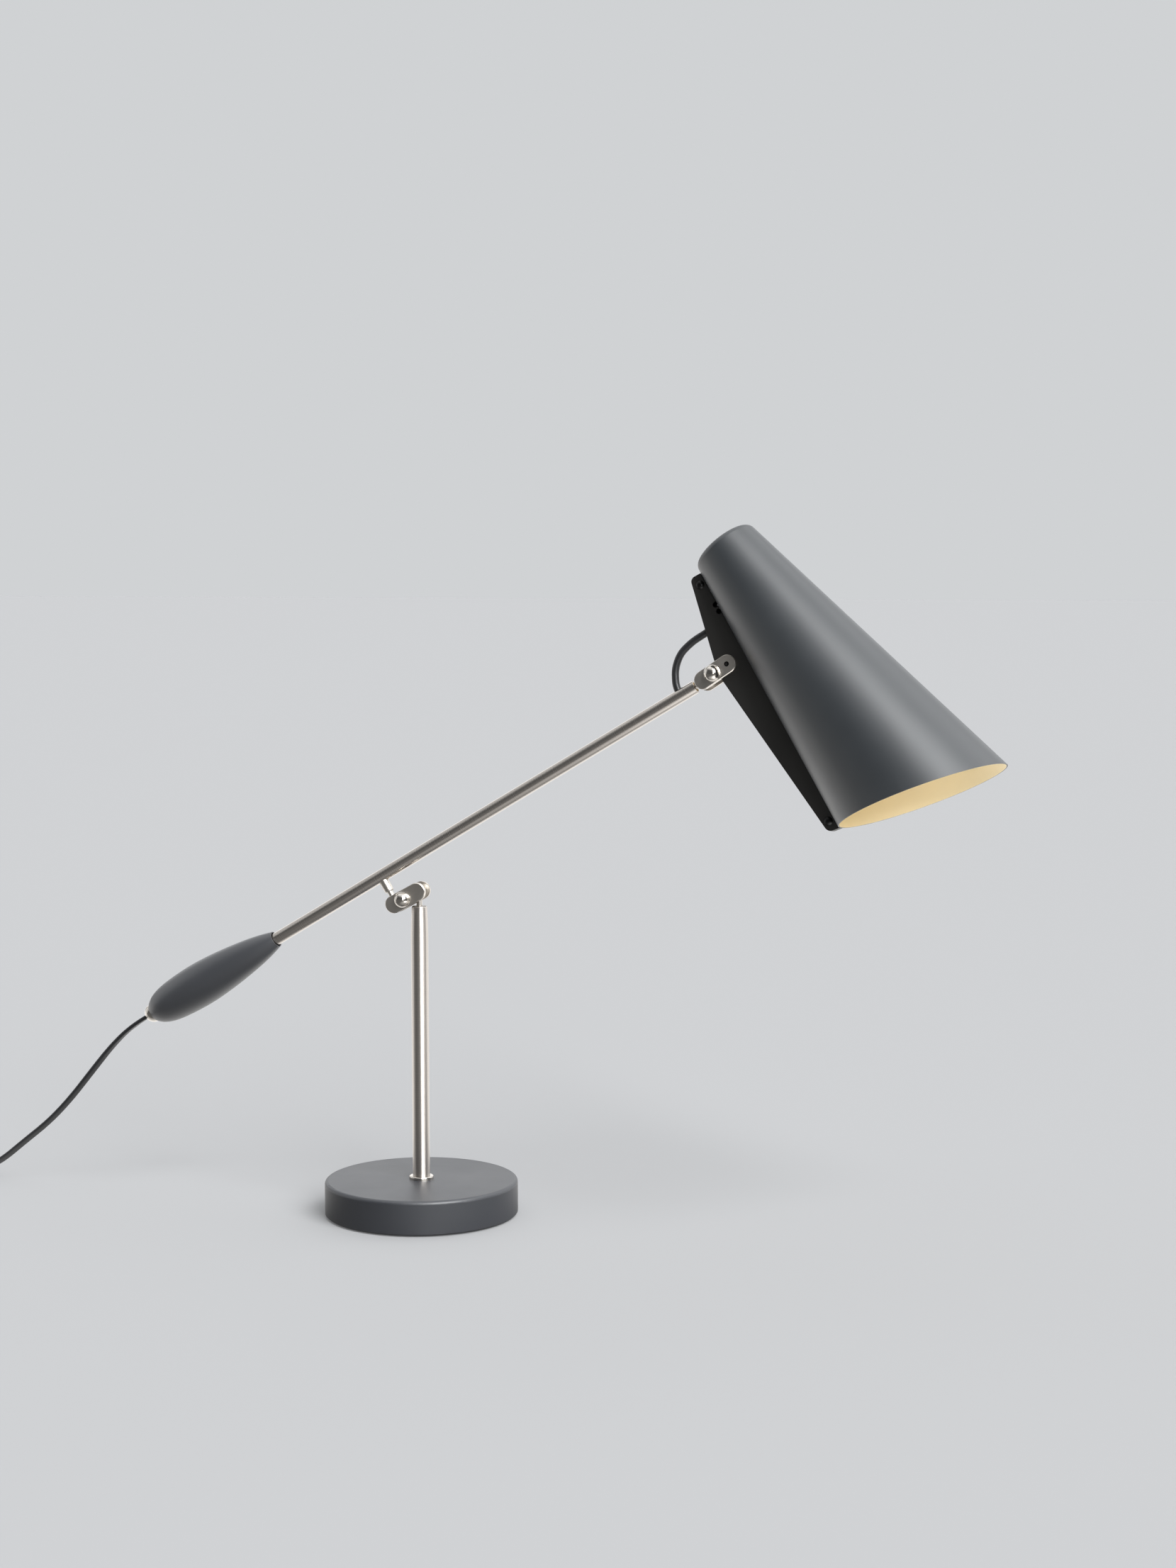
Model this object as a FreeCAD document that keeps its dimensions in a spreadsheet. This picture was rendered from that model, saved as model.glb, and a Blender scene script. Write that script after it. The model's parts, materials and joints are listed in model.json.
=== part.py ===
import FreeCAD, Part
import math
import os
import re

import Sketcher
from FreeCAD import Placement, Rotation, Vector

# Counterbalanced desk lamp: a round weighted base, a pole, a swing arm carried on a
# double ball clamp, and a cone shade on a folded fin at the head of the arm.
# Millimetres. The origin is the centre of the underside, +Z is up, and the arm lies in
# the XZ plane with the shade towards +X.

DIMENSIONS = {
    # base
    "base_radius": 65.0, "base_top": 23.5, "base_foot": 0.6, "base_edge": 2.4,
    "pad_radius": 59.0, "pad_thick": 2.6, "pit_radius": 15.0, "pit_top": 12.0,
    # pole
    "pole_radius": 5.8, "pole_bore": 4.6, "pole_top": 208.9, "pole_neck": 5.1,
    "taper_length": 19.0, "collar_radius": 8.2, "collar_thick": 2.3, "bolt_radius": 4.0,
    # ball studs and friction clamps
    "ball_radius": 4.5, "stud_radius": 1.9, "run_gap": 0.05, "ball_height": 219.0,
    "link_length": 18.6, "link_angle": 29.0, "plate_radius": 6.0, "plate_thick": 2.4,
    "plate_gap": 3.6, "screw_radius": 2.0, "screw_offset": 7.4, "dome_radius": 5.6,
    # swing arm
    "arm_angle": 30.85, "arm_rise": 21.1, "arm_radius": 4.35, "arm_bore": 3.4,
    "arm_tail": 192.0, "arm_head": 252.1, "head_ball": 259.8, "lead_exit": 240.4,
    "socket_radius": 3.2, "socket_low": 9.2,
    # counterweight grip, along the arm from its blunt end
    "grip_tail": 197.1, "grip_length": 107.3, "grip_radius": 14.9, "cup_radius": 5.7,
    "tail_radius": 6.5, "cup_depth": 7.0,
    # head: clamp direction, fin and roll about the arm
    "head_roll": -8.8, "head_angle": 34.0, "pin_offset": 18.5, "fin_thick": 6.8,
    "fin_wall": 0.9, "pin_radius": 1.6,
    # shade: a cone about its own axis, with an oblique mouth
    "shade_slope": 8.58, "shade_dip": 49.6, "apex_x": 111.9, "apex_z": 556.1,
    "crown_along": 141.5, "back_slant": 336.2, "front_slant": 370.5, "shade_wall": 0.8,
    "crown_round": 3.6,
    # lamp holder and bulb, along the shade's axis
    "holder_along": 167.3, "holder_radius": 13.5, "holder_split": 187.0,
    "holder_mouth": 217.0, "bulb_radius": 22.5, "bulb_centre": 246.0,
    "lead_entry": 181.4,
    # mains lead, its coil, the switch on it and the plug
    "lead_width": 4.8, "coil_outer": 36.2, "coil_inner": 18.4, "coil_thick": 9.8,
    "coil_x": -432.0, "coil_y": -34.5, "ring_radius": 34.5, "tail_rise": 7.3,
    "switch_near": 345.0, "switch_length": 56.0, "switch_width": 22.0,
    "switch_split": 6.6, "switch_top": 13.4, "plug_start": -405.0,
}

doc = FreeCAD.newDocument("desk_lamp")
sheet = doc.addObject("Spreadsheet::Sheet", "Sizes")
for row, (alias, size) in enumerate(DIMENSIONS.items(), start=1):
    sheet.set(f"A{row}", alias)
    sheet.set(f"B{row}", str(size))
    sheet.setAlias(f"B{row}", alias)
doc.recompute()

nodes = []


def bound(text):
    """The expression with each driving dimension written as a cell of the sheet."""
    cell = lambda found: "Sizes." + found.group() if found.group() in DIMENSIONS else found.group()
    return re.sub(r"[a-z][a-z_]*", cell, str(text))


def size(text):
    """The number that an expression of driving dimensions gives."""
    value = sheet.evalExpression(bound(text))
    return float(getattr(value, "Value", value))


def keep(part, label):
    """Names a finished sub-part and lists it for writing."""
    part.Label = label
    nodes.append(part)
    return part


# ---------------------------------------------------------------- frames

Y_AXIS = Vector(0, 1, 0)


def turned_about_y(origin, angle):
    """A frame whose X axis points up from +X by an angle in degrees, in the XZ plane."""
    return Placement(origin, Rotation(Y_AXIS, -angle))


def frames():
    """The frames of the pole clamp, the arm, the head clamp, the fin and the shade."""
    pole_ball = Vector(0, 0, size("ball_height"))
    link = turned_about_y(pole_ball, size("link_angle"))
    arm_ball = link.multVec(Vector(-size("link_length"), 0, 0))
    clamp = turned_about_y(arm_ball, size("link_angle"))
    arm = turned_about_y(arm_ball, size("arm_angle"))
    head_ball = arm.multVec(Vector(size("head_ball"), 0, size("arm_rise")))
    arm_axis = arm.Rotation.multVec(Vector(1, 0, 0))
    roll = Placement(Vector(), Rotation(arm_axis, size("head_roll")), head_ball)
    head = roll.multiply(turned_about_y(head_ball, size("head_angle")))
    pin = turned_about_y(head_ball, size("head_angle")).multVec(Vector(size("pin_offset"), 0, 0))
    fin = roll.multiply(Placement(pin, Rotation()))
    apex = Vector(size("apex_x"), 0, size("apex_z"))
    shade = roll.multiply(Placement(apex, Rotation(Y_AXIS, 90 + size("shade_dip"))))
    return {"clamp": clamp, "arm": arm, "head": head, "fin": fin, "shade": shade}


def rolled_arm():
    """The arm's frame, rolled about the arm's axis with the head."""
    arm_axis = FRAME["arm"].Rotation.multVec(Vector(1, 0, 0))
    centre = FRAME["arm"].multVec(Vector(0, 0, size("arm_rise")))
    roll = Placement(Vector(), Rotation(arm_axis, size("head_roll")), centre)
    return roll.multiply(FRAME["arm"])


FRAME = frames()
WORLD = Placement()


def at(frame, x=0.0, y=0.0, z=0.0, rotation=None):
    """A placement at a point of a frame, with a turn of its own."""
    return frame.multiply(Placement(Vector(x, y, z), rotation or Rotation()))


# ---------------------------------------------------------------- sketches and bodies

def plane(body, role):
    return [feature for feature in body.Origin.OriginFeatures if feature.Role == role][0]


def number(text):
    return Vector(size(text[0]), size(text[1]), 0)


def pin_point(sketch, edge, end, text):
    """Holds one end of an edge at coordinates bound to the sheet."""
    for kind, part in (("DistanceX", text[0]), ("DistanceY", text[1])):
        index = sketch.addConstraint(Sketcher.Constraint(kind, -1, 1, edge, end, size(part)))
        sketch.setExpression(f"Constraints[{index}]", bound(part))


def sketch_on(body, role, name, path):
    """A closed outline. Each step is a point, or ("arc", through, point), or
    ("spline", points): coordinates are expressions of the driving dimensions."""
    sketch = body.newObject("Sketcher::SketchObject", name)
    sketch.AttachmentSupport = [(plane(body, role), "")]
    sketch.MapMode = "FlatFace"
    add_outline(sketch, path)
    return sketch


def end_of(step):
    if step[0] == "arc":
        return step[2]
    return step[1][-1] if step[0] == "spline" else step


def add_outline(sketch, path):
    here = path[0]
    closing = [] if end_of(path[-1]) == path[0] else [path[0]]
    for step in path[1:] + closing:
        there = end_of(step)
        if step[0] == "arc":
            curve = Part.Arc(number(here), number(step[1]), number(there))
        elif step[0] == "spline":
            curve = Part.BSplineCurve()
            curve.interpolate([number(point) for point in [here] + step[1]])
        else:
            curve = Part.LineSegment(number(here), number(there))
        edge = sketch.addGeometry(curve, False)
        if step[0] != "spline":
            bind_ends(sketch, edge, here, there)
        here = there


def bind_ends(sketch, edge, here, there):
    """Holds both ends of an edge, whichever way round the sketch keeps it."""
    start = sketch.getPoint(edge, 1)
    if (start - number(here)).Length > (start - number(there)).Length:
        here, there = there, here
    pin_point(sketch, edge, 1, here)
    pin_point(sketch, edge, 2, there)


def turned(label, path, frame):
    """A turned piece: the outline in radius and height, about the frame's Z axis."""
    return keep(turned_blank(label, path, frame), label)


def turned_blank(name, path, frame):
    body = doc.addObject("PartDesign::Body", name)
    sketch = sketch_on(body, "XZ_Plane", name + "_profile", path)
    revolution = body.newObject("PartDesign::Revolution", name + "_turned")
    revolution.Profile = sketch
    revolution.ReferenceAxis = (plane(body, "Z_Axis"), [""])
    revolution.Angle = 360
    body.Placement = frame
    return body


def plate(label, path, thickness, frame, midplane=True):
    """A flat piece: the outline in the frame's XZ plane, padded along Y."""
    body = doc.addObject("PartDesign::Body", label)
    sketch = sketch_on(body, "XZ_Plane", label + "_outline", path)
    pad = body.newObject("PartDesign::Pad", label + "_pad")
    pad.Profile = sketch
    pad.setExpression("Length", bound(thickness))
    pad.Midplane = midplane
    body.Placement = frame
    return body, pad


def rod(name, radius, length, frame):
    """A plain round bar along the frame's Z axis, for booleans and simple pieces."""
    bar = doc.addObject("Part::Cylinder", name)
    bar.setExpression("Radius", bound(radius))
    bar.setExpression("Height", bound(length))
    bar.Placement = frame
    return bar


def block(name, sizes, frame):
    """A box centred on its frame's origin in X and Y, standing on its Z."""
    box = doc.addObject("Part::Box", name)
    for edge, text in zip(("Length", "Width", "Height"), sizes):
        box.setExpression(edge, bound(text))
    half = Vector(-size(sizes[0]) / 2, -size(sizes[1]) / 2, 0)
    box.Placement = frame.multiply(Placement(half, Rotation()))
    return box


def cut(label, base, *tools):
    """The base with every tool taken away."""
    result = base
    for index, tool in enumerate(tools):
        step = doc.addObject("Part::Cut", f"{label}_cut_{index}")
        step.Base = result
        step.Tool = tool
        result = step
    return result


def fused(label, *parts):
    whole = doc.addObject("Part::MultiFuse", label + "_fuse")
    whole.Shapes = list(parts)
    return whole


# The radius left flat at the tip of a dome, where an arc would end on the axis.
TIP = "0.05"

ALONG_X = Rotation(Vector(0, 1, 0), 90)
BACK_X = Rotation(Vector(0, 1, 0), -90)
TOWARDS_FRONT = Rotation(Vector(1, 0, 0), 90)
TOWARDS_BACK = Rotation(Vector(1, 0, 0), -90)
UPSIDE_DOWN = Rotation(Vector(1, 0, 0), 180)


# ---------------------------------------------------------------- base and pole

def make_base():
    """The cast weight, hollow underneath for its pad and the pole's fixing screw."""
    weight = [("4.15", "pit_top"), ("pit_radius", "pit_top"), ("pit_radius", "pad_thick"),
              ("pad_radius + 0.3", "pad_thick"), ("pad_radius + 0.3", "base_foot"),
              ("base_radius - 1", "base_foot"), ("base_radius", "base_foot + 1"),
              ("base_radius", "base_top - base_edge"),
              ("arc", ("base_radius - 0.293 * base_edge", "base_top - 0.293 * base_edge"),
               ("base_radius - base_edge", "base_top")),
              ("4.15", "base_top")]
    turned("base_weight", weight, WORLD)
    turned("base_pad", [("0", "0"), ("pad_radius", "0"), ("pad_radius", "pad_thick"),
                        ("0", "pad_thick")], WORLD)


def make_pole():
    shoulder = "pole_top - taper_length"
    tube = [("pole_bore", "base_top"), ("pole_radius", "base_top"), ("pole_radius", shoulder),
            ("spline", [("pole_radius - 0.2", "pole_top - 0.6 * taper_length"),
                        ("pole_neck", "pole_top - 0.5")]),
            ("pole_neck - 0.5", "pole_top"), ("stud_radius + run_gap", "pole_top"),
            ("stud_radius + run_gap", "pole_top - 2"), ("pole_bore", "pole_top - 4.5")]
    turned("pole_tube", tube, WORLD)
    collar = [("pole_radius + 0.05", "base_top"), ("collar_radius", "base_top"),
              ("collar_radius", "base_top + 1.4"),
              ("arc", ("collar_radius - 0.26", "base_top + 2.03"),
               ("collar_radius - 0.9", "base_top + collar_thick")),
              ("pole_radius + 0.05", "base_top + collar_thick")]
    turned("pole_collar", collar, WORLD)
    plug = [("bolt_radius + 0.05", "base_top + 0.2"), ("pole_bore - 0.03", "base_top + 0.2"),
            ("pole_bore - 0.03", "base_top + 28"), ("0", "base_top + 28"),
            ("0", "base_top + 24"), ("bolt_radius + 0.05", "base_top + 24")]
    turned("pole_foot_plug", plug, WORLD)
    screw = [("0", "pit_top - 8"), ("6.5", "pit_top - 8"), ("6.5", "pit_top - 1.6"),
             ("bolt_radius", "pit_top - 1.6"), ("bolt_radius", "base_top + 22"),
             ("0", "base_top + 22")]
    turned("base_fixing_screw", screw, WORLD)
    washer = [("bolt_radius + 0.3", "pit_top - 1.6"), ("12", "pit_top - 1.6"),
              ("12", "pit_top"), ("bolt_radius + 0.3", "pit_top")]
    turned("base_washer", washer, WORLD)
    bush = [("stud_radius + run_gap", "pole_top - 17"), ("pole_bore - 0.03", "pole_top - 17"),
            ("pole_bore - 0.03", "pole_top - 5"), ("stud_radius + run_gap", "pole_top - 5")]
    turned("pole_top_bush", bush, WORLD)


# ---------------------------------------------------------------- ball studs

def make_stud(label, shank, frame, collar=None):
    """A ball on a thin shank that runs down the frame's -Z, with a retaining collar."""
    flat = "sqrt(ball_radius^2 - stud_radius^2)"
    path = [("0", "ball_radius"),
            ("arc", ("ball_radius", "0"), ("stud_radius", f"-{flat}"))]
    if collar:
        path += [("stud_radius", f"-({collar})"), ("3", f"-({collar})"), ("3", f"-({shank})")]
    else:
        path += [("stud_radius", f"-({shank})")]
    turned(label, path + [("0", f"-({shank})")], frame)


# ---------------------------------------------------------------- friction clamps

def stadium(far):
    """A round-ended plate from the near centre at the origin to the far one."""
    reach = "plate_radius"
    return [("0", f"-{reach}"), (far, f"-{reach}"),
            ("arc", (f"{far} + {reach}", "0"), (far, reach)), ("0", reach),
            ("arc", (f"-{reach}", "0"), ("0", f"-{reach}"))]


def chamfered(body, pad, edge_radius):
    """Breaks the rim of a clamp plate on its outer face."""
    doc.recompute()
    outer = max(abs(vertex.Point.y) for vertex in pad.Shape.Vertexes)
    rim = [f"Edge{index}" for index, edge in enumerate(pad.Shape.Edges, start=1)
           if all(abs(abs(vertex.Point.y) - outer) < 0.01 for vertex in edge.Vertexes)]
    chamfer = body.newObject("PartDesign::Chamfer", body.Name + "_rim")
    chamfer.Base = (pad, rim)
    chamfer.Size = edge_radius
    return chamfer


def make_clamp_plate(label, far, frame, side, seats, holes):
    """One cheek of a clamp, with spherical seats for the balls and drilled holes."""
    shift = size("plate_gap") * side
    body, pad = plate(label + "_blank", stadium(far), "plate_thick",
                      at(frame, 0, shift, 0), False)
    pad.Reversed = side > 0
    chamfered(body, pad, 0.45)
    tools = []
    for index, seat in enumerate(seats):
        ball = doc.addObject("Part::Sphere", f"{label}_seat_{index}")
        ball.setExpression("Radius", bound("ball_radius + run_gap"))
        ball.Placement = at(frame, size(seat))
        tools.append(ball)
    for index, (place, radius) in enumerate(holes):
        tools.append(rod(f"{label}_hole_{index}", radius, "24",
                         at(frame, size(place), 12, 0, TOWARDS_FRONT)))
    keep(cut(label, body, *tools), label)


def make_clamp_screw(prefix, frame):
    """The clamping screw: low round head at the back, domed nut at the front."""
    face = "plate_gap + plate_thick"
    back = at(frame, size("screw_offset"), 0, 0, TOWARDS_BACK)
    screw = [("0", f"-({face}) - 3"), ("screw_radius", f"-({face}) - 3"),
             ("screw_radius", face), ("4.4", face), ("4.4", f"{face} + 0.8"),
             ("arc", ("3.0", f"{face} + 1.9"), ("1.3", f"{face} + 2.4")),
             ("1.3", f"{face} + 1.2"), ("0", f"{face} + 1.2")]
    turned(prefix + "_clamp_screw", screw, back)
    front = at(frame, size("screw_offset"), 0, 0, TOWARDS_FRONT)
    nut = [("screw_radius + 0.05", face), ("dome_radius", face),
           ("dome_radius", f"{face} + 0.9"), ("dome_radius - 0.35", f"{face} + 1.1"),
           ("arc", ("0.75 * dome_radius", f"{face} + 4.3"), (TIP, f"{face} + 6.0")),
           ("0", f"{face} + 6.0"), ("0", f"{face} + 3.4"), ("screw_radius + 0.05", f"{face} + 3.4")]
    turned(prefix + "_dome_nut", nut, front)


def make_pole_clamp():
    seats = ("0", "link_length")
    holes = (("screw_offset", "screw_radius + 0.1"),)
    for side, name in ((-1, "front"), (1, "back")):
        make_clamp_plate(f"pole_clamp_{name}_plate", "link_length", FRAME["clamp"], side,
                         seats, holes)
    make_clamp_screw("pole", FRAME["clamp"])


def make_head_clamp():
    seats = ("0",)
    holes = (("screw_offset", "screw_radius + 0.1"), ("pin_offset", "pin_radius + 0.05"))
    for side, name in ((-1, "front"), (1, "back")):
        make_clamp_plate(f"head_clamp_{name}_plate", "pin_offset", FRAME["head"], side,
                         seats, holes)
    make_clamp_screw("head", FRAME["head"])


# ---------------------------------------------------------------- swing arm

def make_arm():
    """The tube with its stub socket, its head bush and the counterweight grip."""
    arm = FRAME["arm"]
    axis = size("arm_rise")
    length = "arm_head + arm_tail"
    tail = at(arm, -size("arm_tail"), 0, axis, ALONG_X)
    outer = rod("arm_outer", "arm_radius", length, tail)
    inner = rod("arm_inner", "arm_bore", length, tail)
    exit_hole = rod("arm_exit", "lead_width / 2 + 0.4", "arm_radius + 3",
                    at(rolled_arm(), size("lead_exit"), 0, axis))
    keep(cut("arm_tube", outer, inner, exit_hole), "arm_tube")

    socket = [("stud_radius + run_gap", "socket_low"), ("socket_radius - 0.5", "socket_low"),
              ("socket_radius", "socket_low + 0.5"), ("socket_radius", "arm_rise"),
              ("0", "arm_rise"), ("0", "arm_rise - 2.6"),
              ("stud_radius + run_gap", "arm_rise - 2.6")]
    blank = turned_blank("socket_blank", socket, arm)
    saddle = rod("socket_saddle", "arm_radius + 0.03", length, tail)
    keep(cut("arm_stub_socket", blank, saddle), "arm_stub_socket")

    bush = [("stud_radius + run_gap", "arm_head - 7"), ("arm_bore - 0.03", "arm_head - 7"),
            ("arm_bore - 0.03", "arm_head - 0.8"), ("stud_radius + run_gap", "arm_head - 0.8")]
    turned("arm_head_bush", bush, at(arm, 0, 0, axis, ALONG_X))


def make_grip():
    """The counterweight grip: blunt tail, full belly, slim neck ending in a cup."""
    bore = "arm_radius + 0.03"
    path = [(bore, "0"), ("tail_radius", "0"),
            ("spline", [("0.66 * grip_radius", "0.042 * grip_length"),
                        ("0.82 * grip_radius", "0.10 * grip_length"),
                        ("0.95 * grip_radius", "0.22 * grip_length"),
                        ("grip_radius", "0.375 * grip_length"),
                        ("0.94 * grip_radius", "0.55 * grip_length"),
                        ("0.80 * grip_radius", "0.72 * grip_length"),
                        ("0.59 * grip_radius", "0.89 * grip_length"),
                        ("cup_radius", "grip_length")]),
            ("cup_radius - 0.5", "grip_length"),
            ("arc", ("arm_radius + 0.42", "grip_length - 3"), (bore, "grip_length - cup_depth"))]
    turned("counterweight_grip", path,
           at(FRAME["arm"], -size("grip_tail"), 0, size("arm_rise"), ALONG_X))


def make_gland():
    """The domed nickel cap that the mains lead leaves by, and the nut inside it."""
    tail = at(FRAME["arm"], -size("grip_tail"), 0, size("arm_rise"), BACK_X)
    bore = "lead_width / 2 + 0.1"
    cap = [(bore, "0"), ("tail_radius - 0.1", "0"), ("tail_radius - 0.1", "0.8"),
           ("arc", ("0.8 * tail_radius", "4.2"), (bore, "6.2"))]
    turned("lead_gland", cap, tail)


# ---------------------------------------------------------------- head: fin and pin

def make_fin():
    """The folded fin behind the shade: two cheeks and a spine, open towards the shade."""
    outline = [("-21.05", "57.9"), ("-27.65", "54.4"), ("-6.05", "-6.55"),
               ("70.6", "-104.4"), ("77.8", "-101.35")]
    body, pad = plate("fin_blank", outline, "fin_thick", FRAME["fin"])
    doc.recompute()
    corners = {(-27.65, 54.4): 3.6, (-6.05, -6.55): 30.0, (70.6, -104.4): 4.2}
    base = pad
    for (x, z), radius in corners.items():
        found = [f"Edge{index}" for index, edge in enumerate(base.Shape.Edges, start=1)
                 if all(math.hypot(v.Point.x - x, v.Point.z - z) < 0.01 for v in edge.Vertexes)]
        fillet = body.newObject("PartDesign::Fillet", f"fin_corner_{len(body.Group)}")
        fillet.Base = (base, found)
        fillet.Radius = radius
        doc.recompute()
        base = fillet
    open_face = max(range(len(base.Shape.Faces)), key=lambda i: face_reach(base.Shape.Faces[i]))
    shell = body.newObject("PartDesign::Thickness", "fin_shell")
    shell.Base = (base, [f"Face{open_face + 1}"])
    shell.setExpression("Value", bound("fin_wall"))
    shell.Reversed = True
    doc.recompute()
    return body


def face_reach(face):
    """How far towards the shade a flat side of the fin stands."""
    towards_shade = Vector(173.4, 0, 107.6).normalize()
    normal = face.normalAt(0, 0)
    return normal.dot(towards_shade) if face.Area > 400 else -1


def fin_screw_places():
    """Where the two cross screws pass through the fin, from the pivot pin."""
    return (("top", -20.9, 50.5), ("foot", 70.4, -97.4))


def make_fin_openings():
    """Cuts the fin for its pin, its screws, the lead and the clamp screw's arc."""
    fin = FRAME["fin"]
    through = lambda x, z: at(fin, x, 8, z, TOWARDS_FRONT)
    pin_hole = rod("fin_pin_hole", "pin_radius + 0.05", "16", through(0, 0))
    tools = [pin_hole]
    for name, x, z in fin_screw_places():
        tools.append(rod(f"fin_{name}_hole", "1.6", "16", through(x, z)))
    arc_turn = TOWARDS_FRONT.multiply(Rotation(Vector(0, 0, 1), 205))
    outer = rod("fin_notch_outer", "13.6", "16", at(fin, 0, 8, 0, arc_turn))
    outer.Angle = 41
    inner = rod("fin_notch_inner", "8.7", "16", through(0, 0))
    tools.append(cut("fin_notch", outer, inner))
    tools.append(rod("fin_lead_hole", "lead_width / 2 + 0.2", "10",
                     at(fin, *LEAD_THROUGH_FIN, SHADE_NORMAL.multiply(ALONG_X))))
    slot_turn = SHADE_NORMAL.multiply(TOWARDS_FRONT)
    slot = fused("fin_slot", rod("fin_slot_a", "1.9", "8", at(fin, -9.9, 0, 38.0, slot_turn)),
                 rod("fin_slot_b", "1.9", "8", at(fin, -7.3, 0, 33.8, slot_turn)))
    tools.append(slot)
    keep(cut("fin_channel", make_fin(), *tools), "fin_channel")


SHADE_NORMAL = Rotation(Y_AXIS, -(90 - size("shade_dip") - size("shade_slope")))
LEAD_THROUGH_FIN = (-19.0, 0, 18.5)


def make_fin_fixings():
    """Welded lugs inside the fin, their cross screws and the pivot pin's spacer."""
    fin = FRAME["fin"]
    screws = []
    for name, x, z in fin_screw_places():
        centre = at(fin, x, 0, z, SHADE_NORMAL)
        tab = block(f"{name}_tab", ("8.2", "4.8", "5.2"), at(centre, 1.7, 0, -2.6))
        hole = rod(f"{name}_tab_hole", "1.6", "16", at(centre, 0, 8, 0, TOWARDS_FRONT))
        wall = doc.addObject("Part::Cone", f"{name}_tab_shade")
        wall.setExpression("Radius2", bound("(front_slant + 20) * sin(shade_slope) + 0.02"))
        wall.Radius1 = 0
        wall.setExpression("Height", bound("(front_slant + 20) * cos(shade_slope)"))
        wall.Placement = FRAME["shade"]
        keep(cut(f"shade_lug_{name}", tab, hole, wall), f"shade_lug_{name}")
        screws.append(cross_screw(name, centre))
    keep(fused("fin_screws", *screws), "fin_screws")
    spacer = [("pin_radius + 0.05", "-2.45"), ("3.6", "-2.45"), ("3.6", "2.45"),
              ("pin_radius + 0.05", "2.45")]
    turned("pivot_spacer", spacer, at(fin, rotation=TOWARDS_FRONT))
    pin = [("0", "-5.7"), ("pin_radius - 0.3", "-5.7"), ("pin_radius", "-5.4"),
           ("pin_radius", "5.4"), ("pin_radius - 0.3", "5.7"), ("0.7", "5.7"), ("0", "5.1")]
    turned("pivot_pin", pin, at(fin, rotation=TOWARDS_FRONT))


def cross_screw(name, centre):
    """A screw with a low round head on each cheek of the fin."""
    cheek = "fin_thick / 2"
    path = [("0", f"-({cheek}) - 1.5"), (TIP, f"-({cheek}) - 1.5"),
            ("arc", ("1.6", f"-({cheek}) - 1.2"), ("2.9", f"-({cheek}) - 0.02")),
            ("1.5", f"-({cheek}) - 0.02"), ("1.5", f"{cheek} + 0.02"),
            ("2.9", f"{cheek} + 0.02"),
            ("arc", ("1.6", f"{cheek} + 1.2"), (TIP, f"{cheek} + 1.5")),
            ("0", f"{cheek} + 1.5")]
    return turned_blank(f"{name}_cross_screw", path, at(centre, rotation=TOWARDS_FRONT))


# ---------------------------------------------------------------- shade and lamp holder

def make_shade():
    """The spun cone with a closed crown, cut off along an oblique plane."""
    slope = "tan(shade_slope)"
    long_end = "(front_slant + 12) * cos(shade_slope)"
    skin = "shade_wall / cos(shade_slope)"
    crown_radius = f"crown_along * {slope}"
    profile = [("0", "crown_along - 1.1"),
               ("arc", (f"0.5 * ({crown_radius} - crown_round)", "crown_along - 0.8"),
                (f"{crown_radius} - crown_round", "crown_along + 0.15")),
               ("arc", (f"{crown_radius} - 0.25 * crown_round", "crown_along + 1.3"),
                (f"(crown_along + crown_round) * {slope}", "crown_along + crown_round")),
               (f"{long_end} * {slope}", long_end),
               (f"{long_end} * {slope} - {skin}", long_end),
               (f"(crown_along + crown_round + 0.3) * {slope} - {skin}",
                "crown_along + crown_round + 0.3"),
               (f"{crown_radius} - crown_round - 0.4", "crown_along + 0.15 + shade_wall"),
               ("0", "crown_along - 1.1 + shade_wall")]
    cone = turned_blank("shade_cone", profile, FRAME["shade"])
    back = Vector(size("back_slant * sin(shade_slope)"), 0,
                  size("back_slant * cos(shade_slope)"))
    front = Vector(-size("front_slant * sin(shade_slope)"), 0,
                   size("front_slant * cos(shade_slope)"))
    middle = (back + front) * 0.5
    tilt = math.degrees(math.atan2(front.z - back.z, back.x - front.x))
    mouth = block("shade_mouth", ("200", "200", "60"),
                  FRAME["shade"].multiply(Placement(middle, Rotation(Y_AXIS, tilt))))
    holes = [rod("shade_lead_hole", "lead_width / 2 + 0.9", "20",
                 at(FRAME["shade"], 16, 0, size("lead_entry"), ALONG_X))]
    for index, along in enumerate(BRACKET_SCREWS):
        holes.append(rod(f"shade_screw_hole_{index}", "1.4", "20",
                         at(FRAME["shade"], 10, 0, along, ALONG_X)))
    keep(cut("shade", cone, mouth, *holes), "shade")


BRACKET_SCREWS = (161.5, 171.5)


def shade_inside(along):
    """The shade's inner radius at a distance along its axis."""
    slope = math.radians(size("shade_slope"))
    return along * math.tan(slope) - size("shade_wall") / math.cos(slope)


def make_holder_bracket():
    """The angle bracket on the shade's back wall that carries the lamp holder."""
    shade = FRAME["shade"]
    along_wall = Rotation(Y_AXIS, size("shade_slope"))
    leg = block("bracket_leg", ("1.2", "8", "19.2"),
                at(shade, shade_inside(157) - 1.05, 0, 157, along_wall))
    shelf = block("bracket_shelf", ("31", "12", "1.2"), at(shade, 7.7, 0, 166))
    bore = rod("bracket_bore", "5.1", "8", at(shade, 0, 0, 163))
    blank = fused("bracket_blank", leg, shelf)
    screws = []
    holes = []
    for index, along in enumerate(BRACKET_SCREWS):
        holes.append(rod(f"bracket_hole_{index}", "1.4", "20", at(shade, 10, 0, along, ALONG_X)))
        screws.append(bracket_screw(index, along))
    keep(cut("holder_bracket", blank, bore, *holes), "holder_bracket")
    keep(fused("bracket_screws", *screws), "bracket_screws")


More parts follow.
